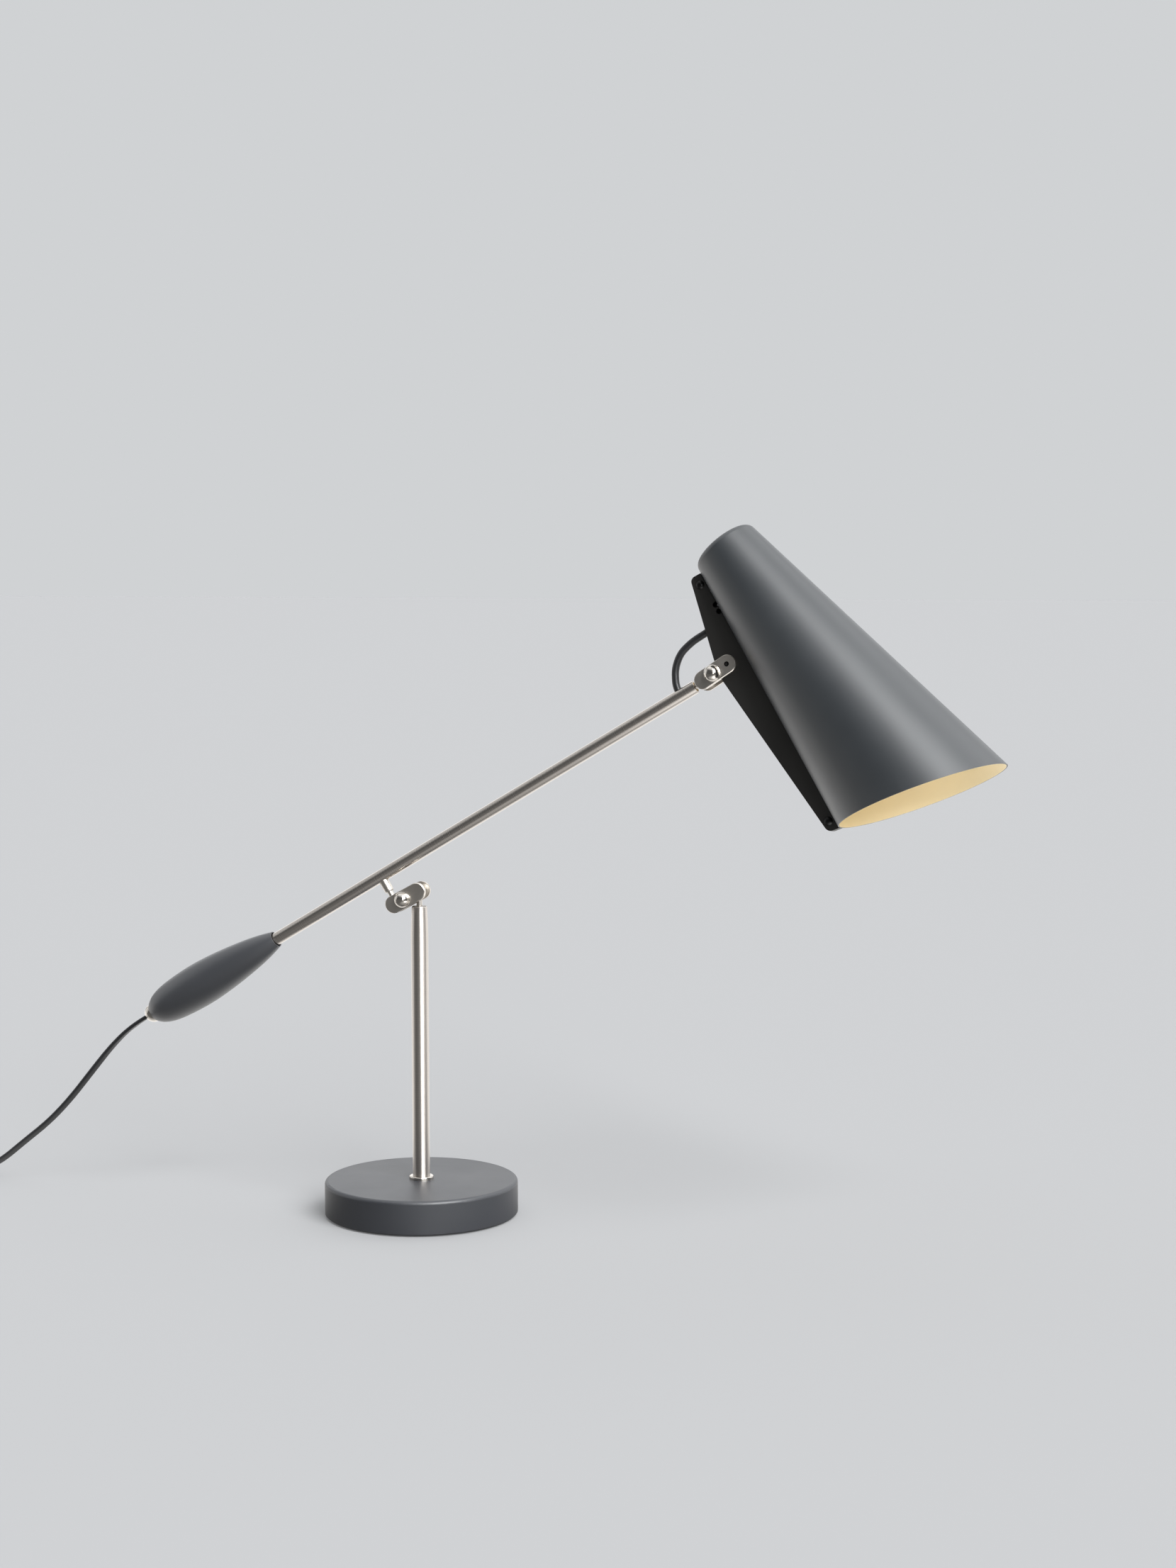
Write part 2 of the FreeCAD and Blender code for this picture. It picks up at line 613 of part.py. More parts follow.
def bracket_screw(index, along):
    """A short screw from inside the fin, through the shade's wall into the bracket."""
    outside = shade_inside(along) + size("shade_wall") + 0.4
    path = [("0", "-4.6"), ("1.3", "-4.6"), ("1.3", "0"), ("2.1", "0"),
            ("arc", ("1.5", "1.0"), (TIP, "1.4")), ("0", "1.4")]
    return turned_blank(f"bracket_screw_{index}", path,
                        at(FRAME["shade"], outside, 0, along, ALONG_X))


def make_lamp_holder():
    """Nipple, nut, holder cap and skirt, contact block, thread shell and bulb."""
    shade = FRAME["shade"]
    start = "holder_along"
    nipple = [("3.5", f"{start} - 9"), ("5", f"{start} - 9"), ("5", f"{start} + 5"),
              ("3.5", f"{start} + 5")]
    turned("holder_nipple", nipple, shade)
    nut = [("5.05", f"{start} - 5.4"), ("7.6", f"{start} - 5.4"), ("8.2", f"{start} - 4.8"),
           ("8.2", f"{start} - 1.4"), ("5.05", f"{start} - 1.4")]
    turned("holder_nut", nut, shade)
    cap = [("5.05", start), ("holder_radius - 1.5", start), ("holder_radius", f"{start} + 1.5"),
           ("holder_radius", "holder_split"), ("holder_radius - 1.5", "holder_split"),
           ("holder_radius - 1.5", f"{start} + 2.4"), ("5.05", f"{start} + 2.4")]
    blank = turned_blank("cap_blank", cap, shade)
    entry = rod("cap_entry", "lead_width / 2 + 0.2", "10",
                at(shade, 6, 0, size("lead_entry"), ALONG_X))
    keep(cut("holder_cap", blank, entry), "holder_cap")
    skirt = [("8.2", "holder_split"), ("holder_radius", "holder_split"),
             ("holder_radius - 0.6", "holder_mouth"), ("8.2", "holder_mouth")]
    turned("holder_skirt", skirt, shade)
    contact = [("0", "holder_split"), ("8.1", "holder_split"), ("8.1", "holder_split + 4"),
               ("2", "holder_split + 4"), ("2", "holder_split + 6"), ("0", "holder_split + 6")]
    turned("holder_contact_block", contact, shade)
    shell = [("7.2", "holder_split + 4"), ("8", "holder_split + 4"), ("8", "holder_mouth - 2"),
             ("7.2", "holder_mouth - 2")]
    turned("holder_thread_shell", shell, shade)
    base = [("0", "holder_split + 6"), ("2.4", "holder_split + 6"), ("6", "holder_split + 9"),
            ("7.1", "holder_split + 10"), ("7.1", "holder_mouth + 1"), ("0", "holder_mouth + 1")]
    turned("bulb_cap", base, shade)
    glass = [("6.3", "holder_mouth + 1"), ("7.1", "holder_mouth + 1"),
             ("spline", [("10.2", "holder_mouth + 6"), ("16.6", "bulb_centre - 15.2"),
                         ("bulb_radius", "bulb_centre")]),
             ("arc", ("0.7071 * bulb_radius", "bulb_centre + 0.7071 * bulb_radius"),
              (TIP, "bulb_centre + bulb_radius")),
             ("0", "bulb_centre + bulb_radius"), ("0", "bulb_centre + bulb_radius - 0.8"),
             (TIP, "bulb_centre + bulb_radius - 0.8"),
             ("arc", ("0.7071 * (bulb_radius - 0.8)", "bulb_centre + 0.7071 * (bulb_radius - 0.8)"),
              ("bulb_radius - 0.8", "bulb_centre")),
             ("spline", [("15.9", "bulb_centre - 14.8"), ("9.5", "holder_mouth + 6.4"),
                         ("6.3", "holder_mouth + 1")])]
    turned("bulb_glass", glass, shade)


# ---------------------------------------------------------------- leads

def rounded_wire(points):
    """Straight runs joined by tangent arcs, each as large as its two runs allow."""
    edges = []
    start = points[0]
    radii = []
    for before, corner, after in zip(points, points[1:], points[2:]):
        into = (corner - before).normalize()
        out = (after - corner).normalize()
        turn = into.getAngle(out)
        reach = 0.45 * min((corner - before).Length, (after - corner).Length)
        radii.append(reach / math.tan(turn / 2))
        arc_start = corner - into * reach
        arc_end = corner + out * reach
        bisector = (out - into).normalize()
        centre = corner + bisector * (reach / math.sin(turn / 2))
        middle = centre - bisector * radii[-1]
        edges.append(Part.LineSegment(start, arc_start).toShape())
        edges.append(Part.Arc(arc_start, middle, arc_end).toShape())
        start = arc_end
    edges.append(Part.LineSegment(start, points[-1]).toShape())
    return Part.Wire(edges), radii


def lead(label, points, diameter):
    """A round lead along a route, as one solid."""
    path, radii = rounded_wire(points)
    section = Part.Circle(points[0], points[1] - points[0], diameter / 2)
    solid = path.makePipeShell([Part.Wire(section.toShape())], True, True)
    expected = math.pi * diameter ** 2 / 4 * path.Length
    feature = doc.addObject("Part::Feature", label)
    feature.Shape = solid
    feature.Placement = WORLD
    print(f"{label}: {path.Length:.1f} mm long, volume {solid.Volume / expected:.4f} of its "
          f"section times its length, radii {[round(radius) for radius in radii]}")
    return keep(feature, label)


# The mains lead from the gland to the in-line switch and on to its coil.
LEAD_HANG = [(-229, 0, 102.2), (-245.5, 0, 82.6), (-262.5, 0, 62.2),
             (-280, 0, 44.6), (-300, 0, 29.0), (-318, 0, 14.4), (-332, 0, 7.8)]
COIL_ENTRY = (-415.2, 0, 7.1)

# The lead's X and Z from the coil up to the plug's strain relief.
PLUG_TAIL = [(-415.2, 5.0), (-405.5, 7.2)]

# The short loop at the arm's head, in the arm's own X and Z.
HEAD_LOOP = [(240.4, 21.1), (240.9, 28.6), (245.3, 38.0), (253.0, 45.0), (263.5, 47.7),
             (276.5, 48.0)]


def make_leads():
    arm = FRAME["arm"]
    width = size("lead_width")
    axis = size("arm_rise")
    gland_tip, straight_out = [arm.multVec(Vector(-size("grip_tail") - reach, 0, axis))
                               for reach in (5.5, 20.1)]
    inlet = Vector(-size("switch_near"), 0, size("switch_split"))
    outlet = inlet - Vector(size("switch_length"), 0, 0)
    hang = [Vector(*point) for point in LEAD_HANG]
    lead("mains_lead", [gland_tip, straight_out] + hang + [inlet], width)
    lead("mains_lead_switched", [outlet, Vector(*COIL_ENTRY)], width)
    keep(rod("arm_lead", "lead_width / 2", "lead_exit - lead_width / 2 + grip_tail + 5.5",
             at(arm, -size("grip_tail") - 5.5, 0, axis, ALONG_X)), "arm_lead")
    loop = [rolled_arm().multVec(Vector(x, 0, z)) for x, z in HEAD_LOOP]
    lead("head_lead_loop", loop, width)
    onward = (loop[-1] - loop[-2]).normalize()
    cap_side = FRAME["shade"].multVec(Vector(size("holder_radius") - 3, 0, size("lead_entry")))
    lead("holder_lead", [loop[-1], loop[-1] + onward * 9, cap_side], width)


def make_coil():
    """The put-away length of the lead, as one plain ring, and the tail to the plug."""
    ring = [("coil_inner", "0"), ("coil_outer", "0"), ("coil_outer", "coil_thick"),
            ("coil_inner", "coil_thick")]
    centre = Placement(Vector(size("coil_x"), size("coil_y"), 0), Rotation())
    turned("lead_coil", ring, centre)
    side = size("coil_y") - size("ring_radius")
    lead("plug_lead", [Vector(x, side, z) for x, z in PLUG_TAIL], size("lead_width"))


# ---------------------------------------------------------------- switch and plug

def make_switch():
    """The in-line switch: two housing halves, a rocker and its pivot."""
    middle = -(size("switch_near") + size("switch_length") / 2)
    place = Placement(Vector(middle, 0, 0), Rotation())
    bore_place = at(place, -40, 0, size("switch_split"), ALONG_X)
    well = at(place, 0, 0, 7.4)
    for name, low, high in (("lower", "0", "switch_split"), ("upper", "switch_split",
                                                            "switch_top")):
        shell = switch_half(name, place, low, high)
        tools = [rod(f"switch_{name}_bore", "lead_width / 2 + 0.1", "80", bore_place)]
        if name == "upper":
            tools.append(block("switch_well", ("19", "9.4", "10"), well))
        keep(cut(f"switch_housing_{name}", shell, *tools), f"switch_housing_{name}")
    rocker = [("-8.9", "9.3"), ("8.9", "9.3"), ("8.9", "14.6"),
              ("arc", ("0", "13.2"), ("-8.9", "14.6"))]
    body, pad = plate("rocker_blank", rocker, "8.8", place)
    axle = rod("rocker_axle", "1.0", "8.9", at(place, 0, 4.45, 10.6, TOWARDS_FRONT))
    keep(fused("switch_rocker", body, axle), "switch_rocker")


def switch_half(name, place, low, high):
    """One half of the housing: a long oval in plan, with blunt ends."""
    reach = "switch_length / 2"
    side = "switch_width / 2"
    outline = [(f"-{reach}", "-5"), (f"-0.55 * {reach}", f"-{side}"),
               (f"0.55 * {reach}", f"-{side}"), (reach, "-5"), (reach, "5"),
               (f"0.55 * {reach}", side), (f"-0.55 * {reach}", side), (f"-{reach}", "5")]
    body = doc.addObject("PartDesign::Body", f"switch_{name}_blank")
    sketch = sketch_on(body, "XY_Plane", f"switch_{name}_outline", outline)
    pad = body.newObject("PartDesign::Pad", f"switch_{name}_pad")
    pad.Profile = sketch
    pad.setExpression("Length", bound(f"{high} - {low}"))
    body.Placement = at(place, 0, 0, size(low))
    return body


def make_plug():
    """A flat two-pin plug lying on the table, with its strain relief."""
    centre = Vector(size("plug_start"), size("coil_y") - size("ring_radius"),
                    size("tail_rise"))
    place = Placement(centre, Rotation())
    shell = [("18", "-8.5"), ("24", "-17.6"), ("52", "-17.6"), ("52", "17.6"),
             ("24", "17.6"), ("18", "8.5")]
    body = doc.addObject("PartDesign::Body", "plug_shell")
    sketch = sketch_on(body, "XY_Plane", "plug_outline", shell)
    pad = body.newObject("PartDesign::Pad", "plug_pad")
    pad.Profile = sketch
    pad.Length = 13.6
    body.Placement = at(place, 0, 0, -6.8)
    relief = doc.addObject("Part::Cone", "plug_relief")
    relief.Radius1 = 3.4
    relief.Radius2 = 4.6
    relief.Height = 20
    relief.Placement = at(place, rotation=ALONG_X)
    keep(fused("plug_body", body, relief), "plug_body")
    pins = [rod(f"plug_pin_{index}", "2.0", "19", at(place, 52, side, 0, ALONG_X))
            for index, side in enumerate((-9.3, 9.3))]
    keep(fused("plug_pins", *pins), "plug_pins")


# ---------------------------------------------------------------- the whole lamp

def make_lamp():
    make_base()
    make_pole()
    pole_ball = Placement(Vector(0, 0, size("ball_height")), Rotation())
    make_stud("pole_ball_stud", "30", pole_ball, "27.3")
    make_pole_clamp()
    make_stud("arm_ball_stud", "arm_rise - arm_radius - 0.15", at(FRAME["arm"], rotation=UPSIDE_DOWN))
    make_arm()
    make_grip()
    make_gland()
    head = at(FRAME["arm"], size("head_ball"), 0, size("arm_rise"), ALONG_X)
    make_stud("head_ball_stud", "15.9", head, "14.9")
    make_head_clamp()
    make_fin_openings()
    make_fin_fixings()
    make_shade()
    make_holder_bracket()
    make_lamp_holder()
    make_leads()
    make_coil()
    make_switch()
    make_plug()


def check_and_write():
    """Stops on a failed feature or a bad solid, then writes one STEP file a node."""
    doc.recompute()
    for feature in doc.Objects:
        if "Invalid" in feature.State or "Error" in feature.State:
            raise RuntimeError(f"{feature.Name} failed: {feature.State}")
    for part in nodes:
        if part.Shape.isNull() or not part.Shape.isValid():
            raise RuntimeError(f"{part.Label} has no valid shape")
    os.makedirs("parts", exist_ok=True)
    for part in nodes:
        part.Shape.exportStep(f"parts/{part.Label}.step")
    print(len(nodes), "nodes written")


make_lamp()
check_and_write()
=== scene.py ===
import json
import math

import bmesh
import bpy
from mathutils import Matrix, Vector


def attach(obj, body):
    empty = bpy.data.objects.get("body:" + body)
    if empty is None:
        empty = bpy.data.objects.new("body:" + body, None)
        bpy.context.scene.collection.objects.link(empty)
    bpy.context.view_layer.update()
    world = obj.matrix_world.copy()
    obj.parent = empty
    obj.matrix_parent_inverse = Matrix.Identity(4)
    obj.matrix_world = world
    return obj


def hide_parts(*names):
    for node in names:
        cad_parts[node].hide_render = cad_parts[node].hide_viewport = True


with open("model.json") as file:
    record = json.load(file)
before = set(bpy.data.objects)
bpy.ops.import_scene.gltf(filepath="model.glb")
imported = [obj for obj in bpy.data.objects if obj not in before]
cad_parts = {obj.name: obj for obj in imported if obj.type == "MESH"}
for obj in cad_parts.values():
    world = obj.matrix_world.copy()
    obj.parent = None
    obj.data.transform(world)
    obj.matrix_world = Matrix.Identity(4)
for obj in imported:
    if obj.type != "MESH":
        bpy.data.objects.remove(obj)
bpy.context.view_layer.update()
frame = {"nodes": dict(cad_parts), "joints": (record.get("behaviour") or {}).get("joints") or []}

# A counterbalanced desk lamp: brushed nickel arm and pole, painted base, grip and shade.
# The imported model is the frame. Lengths are metres; names ending in _MM are millimetres.

MM = 0.001
nodes = frame["nodes"]
joints = {joint["name"]: joint for joint in frame["joints"]}


def joint_point(name):
    return Vector(joints[name]["pos_m"])


def joint_axis(name):
    return Vector(joints[name]["axis"]).normalized()


ARM_BALL = joint_point("arm_tilt")
ARM_UP = joint_axis("arm_swivel")
ARM_AXIS = joint_axis("head_swivel")
ARM_RISE_MM = 21.1                            # the arm tube's centre line over its ball


def on_arm(along):
    """A point on the arm tube's centre line, in millimetres from its ball toward the head."""
    return ARM_BALL + (ARM_AXIS * along + ARM_UP * ARM_RISE_MM) * MM


# ---------------------------------------------------------------- camera

CAMERA_PLACE = (0.6031, -1.5934, 0.4352)
CAMERA_DOWN, CAMERA_TURN = 6.616, 16.951      # degrees below level, and about the vertical
CAMERA_LENS_MM, CAMERA_SENSOR_MM, CAMERA_SHIFT = 59.07, 36, 0.0501
CAMERA_NEAR, CAMERA_FAR = 0.05, 60


def make_camera():
    data = bpy.data.cameras.new("camera")
    data.sensor_width = CAMERA_SENSOR_MM
    data.lens = CAMERA_LENS_MM
    data.shift_y = CAMERA_SHIFT
    data.clip_start, data.clip_end = CAMERA_NEAR, CAMERA_FAR
    camera = bpy.data.objects.new("camera", data)
    camera.location = CAMERA_PLACE
    camera.rotation_euler = (math.radians(90 - CAMERA_DOWN), 0, math.radians(CAMERA_TURN))
    bpy.context.scene.collection.objects.link(camera)
    bpy.context.scene.camera = camera


make_camera()

# ---------------------------------------------------------------- meshes

def add_piece(name, mesh, material, sharp_angle):
    """A mesh as an object, smooth but for edges sharper than an angle in degrees."""
    mesh.materials.append(material)
    mesh.shade_smooth()
    mesh.set_sharp_from_angle(angle=math.radians(sharp_angle))
    piece = bpy.data.objects.new(name, mesh)
    bpy.context.scene.collection.objects.link(piece)
    return piece


def add_mesh(name, verts, faces, material):
    mesh = bpy.data.meshes.new(name)
    mesh.from_pydata([tuple(v) for v in verts], [], faces)
    mesh.validate()
    return add_piece(name, mesh, material, sharp_angle=35)


def strip(rings):
    """Points and faces that join equal rings of points into a tube with closed ends."""
    count = len(rings[0])
    verts = [point for ring in rings for point in ring]
    faces = []
    for i in range(len(rings) - 1):
        for j in range(count):
            k = (j + 1) % count
            faces.append((i * count + j, i * count + k, (i + 1) * count + k,
                          (i + 1) * count + j))
    faces.append(tuple(reversed(range(count))))
    faces.append(tuple(range((len(rings) - 1) * count, len(rings) * count)))
    return verts, faces


# ---------------------------------------------------------------- materials

NICKEL_BRUSHED_TINT, NICKEL_TINT = (0.60, 0.56, 0.52), (0.62, 0.585, 0.54)


def new_material(name):
    material = bpy.data.materials.new(name)
    material.use_nodes = True
    tree = material.node_tree
    return material, tree, tree.nodes["Principled BSDF"]


def noise(tree, scale, detail, stretch=(1, 1, 1)):
    """A noise on object coordinates, which stretch scales along each axis."""
    coords = tree.nodes.new("ShaderNodeTexCoord")
    mapping = tree.nodes.new("ShaderNodeMapping")
    mapping.inputs["Scale"].default_value = stretch
    texture = tree.nodes.new("ShaderNodeTexNoise")
    texture.inputs["Scale"].default_value = scale
    texture.inputs["Detail"].default_value = detail
    texture.inputs["Roughness"].default_value = 0.55
    tree.links.new(coords.outputs["Object"], mapping.inputs["Vector"])
    tree.links.new(mapping.outputs["Vector"], texture.inputs["Vector"])
    return texture.outputs["Fac"]


def vary(tree, source, places, colours, socket):
    """A socket that runs between two colours as the source goes from one place to the other."""
    made = tree.nodes.new("ShaderNodeValToRGB")
    for element, place, colour in zip(made.color_ramp.elements, places, colours):
        element.position = place
        element.color = (*colour, 1)
    tree.links.new(source, made.inputs["Fac"])
    tree.links.new(made.outputs["Color"], socket)


def shades(colour, *factors):
    """The colour multiplied by each factor."""
    return [tuple(c * factor for c in colour) for factor in factors]


def greys(*values):
    return [(value, value, value) for value in values]


def bump(tree, height, strength, distance, shader):
    made = tree.nodes.new("ShaderNodeBump")
    made.inputs["Strength"].default_value = strength
    made.inputs["Distance"].default_value = distance
    tree.links.new(height, made.inputs["Height"])
    tree.links.new(made.outputs["Normal"], shader.inputs["Normal"])


def paint(name, colour, rough, level=0.5):
    """Sprayed paint: slight cloudiness in colour and gloss, and a fine orange peel."""
    material, tree, shader = new_material(name)
    cloud = noise(tree, scale=22, detail=4)
    vary(tree, cloud, (0.3, 0.7), shades(colour, 0.95, 1.05), shader.inputs["Base Color"])
    vary(tree, cloud, (0.3, 0.7), greys(rough - 0.03, rough + 0.03), shader.inputs["Roughness"])
    peel = noise(tree, scale=900, detail=2)
    bump(tree, peel, 0.35, 0.02 * MM, shader)
    shader.inputs["Specular IOR Level"].default_value = level
    return material


def brushed(name, axis, rough, turned):
    """Nickel brushed round an axis: fine grooves across it stretch its highlights along it."""
    material, tree, shader = new_material(name)
    shader.inputs["Metallic"].default_value = 1.0
    coords = tree.nodes.new("ShaderNodeTexCoord")
    along = tree.nodes.new("ShaderNodeVectorMath")
    along.operation = "DOT_PRODUCT"
    along.inputs[1].default_value = axis
    tree.links.new(coords.outputs["Object"], along.inputs[0])
    grooves = tree.nodes.new("ShaderNodeTexNoise")
    grooves.noise_dimensions = "1D"
    grooves.inputs["Scale"].default_value = 2600
    grooves.inputs["Detail"].default_value = 4
    tree.links.new(along.outputs["Value"], grooves.inputs["W"])
    fine = grooves.outputs["Fac"]
    vary(tree, fine, (0.3, 0.7), shades(NICKEL_BRUSHED_TINT, 0.9, 1.06),
         shader.inputs["Base Color"])
    vary(tree, fine, (0.25, 0.75), greys(rough - 0.05, rough + 0.06), shader.inputs["Roughness"])
    bump(tree, fine, 0.25, 0.01 * MM, shader)
    shader.inputs["Anisotropic"].default_value = turned
    world = tree.nodes.new("ShaderNodeVectorTransform")
    world.vector_type = "VECTOR"
    world.convert_from, world.convert_to = "OBJECT", "WORLD"
    world.inputs["Vector"].default_value = axis
    tree.links.new(world.outputs["Vector"], shader.inputs["Tangent"])
    return material


def polished(name, colour, rough):
    """Smooth metal, with a faint haze in its gloss and hair-fine scratches."""
    material, tree, shader = new_material(name)
    shader.inputs["Metallic"].default_value = 1.0
    cloud = noise(tree, scale=120, detail=3)
    vary(tree, cloud, (0.35, 0.7), greys(rough, rough + 0.05), shader.inputs["Roughness"])
    vary(tree, cloud, (0.3, 0.7), shades(colour, 0.95, 1.0), shader.inputs["Base Color"])
    scratches = noise(tree, scale=1500, detail=2, stretch=(1, 1, 0.15))
    bump(tree, scratches, 0.12, 0.003 * MM, shader)
    return material


def plastic(name, colour, rough, grain=0.03 * MM, scale=700):
    """A cloudy, fine-grained surface: plastic, rubber, ceramic, webbing or frosted glass."""
    material, tree, shader = new_material(name)
    cloud = noise(tree, scale=40, detail=3)
    vary(tree, cloud, (0.3, 0.7), shades(colour, 0.85, 1.15), shader.inputs["Base Color"])
    vary(tree, cloud, (0.3, 0.7), greys(rough - 0.04, rough + 0.05), shader.inputs["Roughness"])
    texture = noise(tree, scale, detail=3)
    bump(tree, texture, 0.4, grain, shader)
    return material


PAINT_BASE = paint("base_paint", (0.026, 0.028, 0.0335), 0.44, level=0.8)
PAINT_GRIP = paint("grip_paint", (0.032, 0.034, 0.039), 0.40, level=1.0)
PAINT_SHADE = paint("shade_paint", (0.018, 0.0215, 0.0255), 0.42, level=1.0)
# A lighter grey for the faces of the shade's mouth edge: a painted highlight along the rim.
PAINT_RIM_HIGHLIGHT = paint("shade_rim_highlight", (0.07, 0.068, 0.066), 0.45)
PAINT_INSIDE = paint("shade_cream", (0.90, 0.77, 0.50), 0.55)
PAINT_FIN = paint("fin_paint", (0.0125, 0.0115, 0.0105), 0.5)
NICKEL_POLE = brushed("nickel_pole", (0, 0, 1), rough=0.36, turned=0.9)
NICKEL_ARM = brushed("nickel_arm", tuple(ARM_AXIS), rough=0.22, turned=0.62)
NICKEL = polished("nickel_satin", NICKEL_TINT, 0.34)
NICKEL_BRIGHT = polished("nickel_bright", NICKEL_TINT, 0.16)
STEEL = polished("zinc_steel", (0.5, 0.5, 0.51), 0.3)
BRASS = polished("brass", (0.72, 0.53, 0.26), 0.25)
BLACK_OXIDE = polished("black_oxide", (0.03, 0.03, 0.03), 0.35)
LEAD = plastic("lead_sheath", (0.012, 0.0125, 0.014), 0.38, scale=500)
BLACK_PLASTIC = plastic("black_plastic", (0.016, 0.016, 0.017), 0.42)
GLOSS_PLASTIC = plastic("gloss_plastic", (0.014, 0.014, 0.015), 0.2, grain=0.01 * MM)
HOLDER_PLASTIC = plastic("holder_plastic", (0.02, 0.02, 0.02), 0.4)
CERAMIC = plastic("ceramic", (0.75, 0.73, 0.68), 0.25, grain=0.01 * MM)
STRAP = plastic("strap_weave", (0.022, 0.022, 0.024), 0.85, grain=0.2 * MM, scale=1400)
RUBBER = plastic("rubber", (0.02, 0.02, 0.021), 0.8)
BULB = plastic("frosted_glass", (0.86, 0.85, 0.82), 0.35, grain=0.01 * MM)

CAD_MATERIALS = {
    "base_weight": PAINT_BASE, "base_pad": RUBBER, "pole_tube": NICKEL_POLE,
    "pole_collar": NICKEL_BRIGHT, "pole_foot_plug": STEEL, "base_fixing_screw": STEEL,
    "base_washer": STEEL, "pole_top_bush": BRASS, "pole_ball_stud": NICKEL,
    "pole_clamp_front_plate": NICKEL, "pole_clamp_back_plate": NICKEL,
    "pole_clamp_screw": NICKEL_BRIGHT, "pole_dome_nut": NICKEL_BRIGHT,
    "arm_ball_stud": NICKEL, "arm_tube": NICKEL_ARM, "arm_stub_socket": NICKEL,
    "arm_head_bush": BRASS, "counterweight_grip": PAINT_GRIP, "lead_gland": NICKEL_BRIGHT,
    "arm_lead": LEAD, "head_lead_loop": LEAD, "switch_housing_lower": BLACK_PLASTIC,
    "switch_housing_upper": BLACK_PLASTIC, "switch_rocker": GLOSS_PLASTIC,
    "plug_body": BLACK_PLASTIC, "plug_pins": NICKEL_BRIGHT, "head_ball_stud": NICKEL,
    "head_clamp_front_plate": NICKEL, "head_clamp_back_plate": NICKEL,
    "head_clamp_screw": NICKEL_BRIGHT, "head_dome_nut": NICKEL_BRIGHT,
    "fin_channel": PAINT_FIN, "fin_screws": BLACK_OXIDE, "shade_lug_top": PAINT_FIN,
    # The pivot pin is black oxide; its dark end also stands in for the shade inside its hole at
    # the clamp plate's end, a painted shade.
    "shade_lug_foot": PAINT_FIN, "pivot_pin": BLACK_OXIDE, "pivot_spacer": STEEL,
    "shade": PAINT_SHADE, "holder_bracket": STEEL, "bracket_screws": STEEL,
    "holder_lead": LEAD, "holder_nipple": BRASS, "holder_nut": BRASS,
    "holder_cap": HOLDER_PLASTIC, "holder_skirt": HOLDER_PLASTIC,
    "holder_contact_block": CERAMIC, "holder_thread_shell": BRASS, "bulb_cap": STEEL,
    "bulb_glass": BULB,
}


def dress_cad_nodes():
    for name, material in CAD_MATERIALS.items():
        mesh = nodes[name].data
        mesh.materials.clear()
        mesh.materials.append(material)


dress_cad_nodes()

# The shade's cone as the CAD places it: its tip, the way to its mouth, and its half angle.
SHADE_APEX_MM = Vector((113.17, 32.18, 553.97))
SHADE_AXIS = Vector((0.64217, -0.15087, -0.75157))
SHADE_SLOPE = math.radians(8.58)
SHADE_INNER_FROM_MM = 0.5                     # how far under the outer cone inner faces start
SHADE_MOUTH_FROM_MM = 300                     # from the tip; its edge is looked for beyond


def paint_shade_inside():
    """Cream on the shade's inner faces, and a lighter grey on the faces of its mouth's edge: a
    painted highlight along the rim.
    """
    mesh = nodes["shade"].data
    mesh.materials.append(PAINT_INSIDE)
    mesh.materials.append(PAINT_RIM_HIGHLIGHT)
    inside, edge = 1, 2
    for face in mesh.polygons:
        offset = face.center / MM - SHADE_APEX_MM
        along = offset.dot(SHADE_AXIS)
        out = offset - SHADE_AXIS * along
        depth = along * math.sin(SHADE_SLOPE) - out.length * math.cos(SHADE_SLOPE)
        faces_out = face.normal.dot(out.normalized())
        faces_mouth = face.normal.dot(SHADE_AXIS)
        # A rim face looks out of the mouth; an inner one looks at the axis or along it.
        # Painted highlight: the rim's faces take the lighter grey, standing in for the bright
        # line along the mouth.
        if abs(faces_out) < 0.75 and faces_mouth > 0.6 and along > SHADE_MOUTH_FROM_MM:
            face.material_index = edge
        elif depth > SHADE_INNER_FROM_MM and (faces_out < -0.5 or faces_mouth > 0.7):
            face.material_index = inside


paint_shade_inside()

# ---------------------------------------------------------------- moulded pieces

PLUG_ROUND, SHELL_ROUND = 0.0012, 0.0009

# The least length, as a number of radii, and the least turn of an edge that is rounded.
LEAST_EDGE, LEAST_TURN = 3, math.radians(28)


def softened(name, node_name, body, radius):
    """A CAD piece with its sharp outer edges rounded off, as a mould leaves them."""
    source = nodes[node_name]
    made = bmesh.new()
    made.from_mesh(source.data)
    made.transform(source.matrix_world)
    bmesh.ops.remove_doubles(made, verts=made.verts, dist=1e-6)
    bmesh.ops.dissolve_limit(made, angle_limit=math.radians(0.5), verts=made.verts,
                             edges=made.edges)
    sharp = [edge for edge in made.edges
             if edge.is_manifold and edge.is_convex
             and edge.calc_length() > LEAST_EDGE * radius
             and edge.calc_face_angle() > LEAST_TURN]
    bmesh.ops.bevel(made, geom=sharp, offset=radius, offset_type="OFFSET", segments=4,
                    profile=0.5, affect="EDGES", clamp_overlap=True)
    mesh = bpy.data.meshes.new(name)
    made.to_mesh(mesh)
    made.free()
    piece = add_piece(name, mesh, CAD_MATERIALS[node_name], sharp_angle=32)
    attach(piece, body)
    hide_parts(node_name)
    return piece


PLUG = softened("plug_moulding", "plug_body", "arm", PLUG_ROUND)
SWITCH_HALVES = [
    softened("switch_lower_shell", "switch_housing_lower", "arm", SHELL_ROUND),
    softened("switch_upper_shell", "switch_housing_upper", "arm", SHELL_ROUND),
]

# ---------------------------------------------------------------- leads

# A flat twin lead: its two sides, the points round it, and the groove between its cores.
LEAD_WIDE_MM, LEAD_THIN_MM = 4.8, 2.9
LEAD_SIDES = 20
WAIST_DEPTH, WAIST_WIDTH, CORE_SPREAD = 0.09, 0.25, 3.2

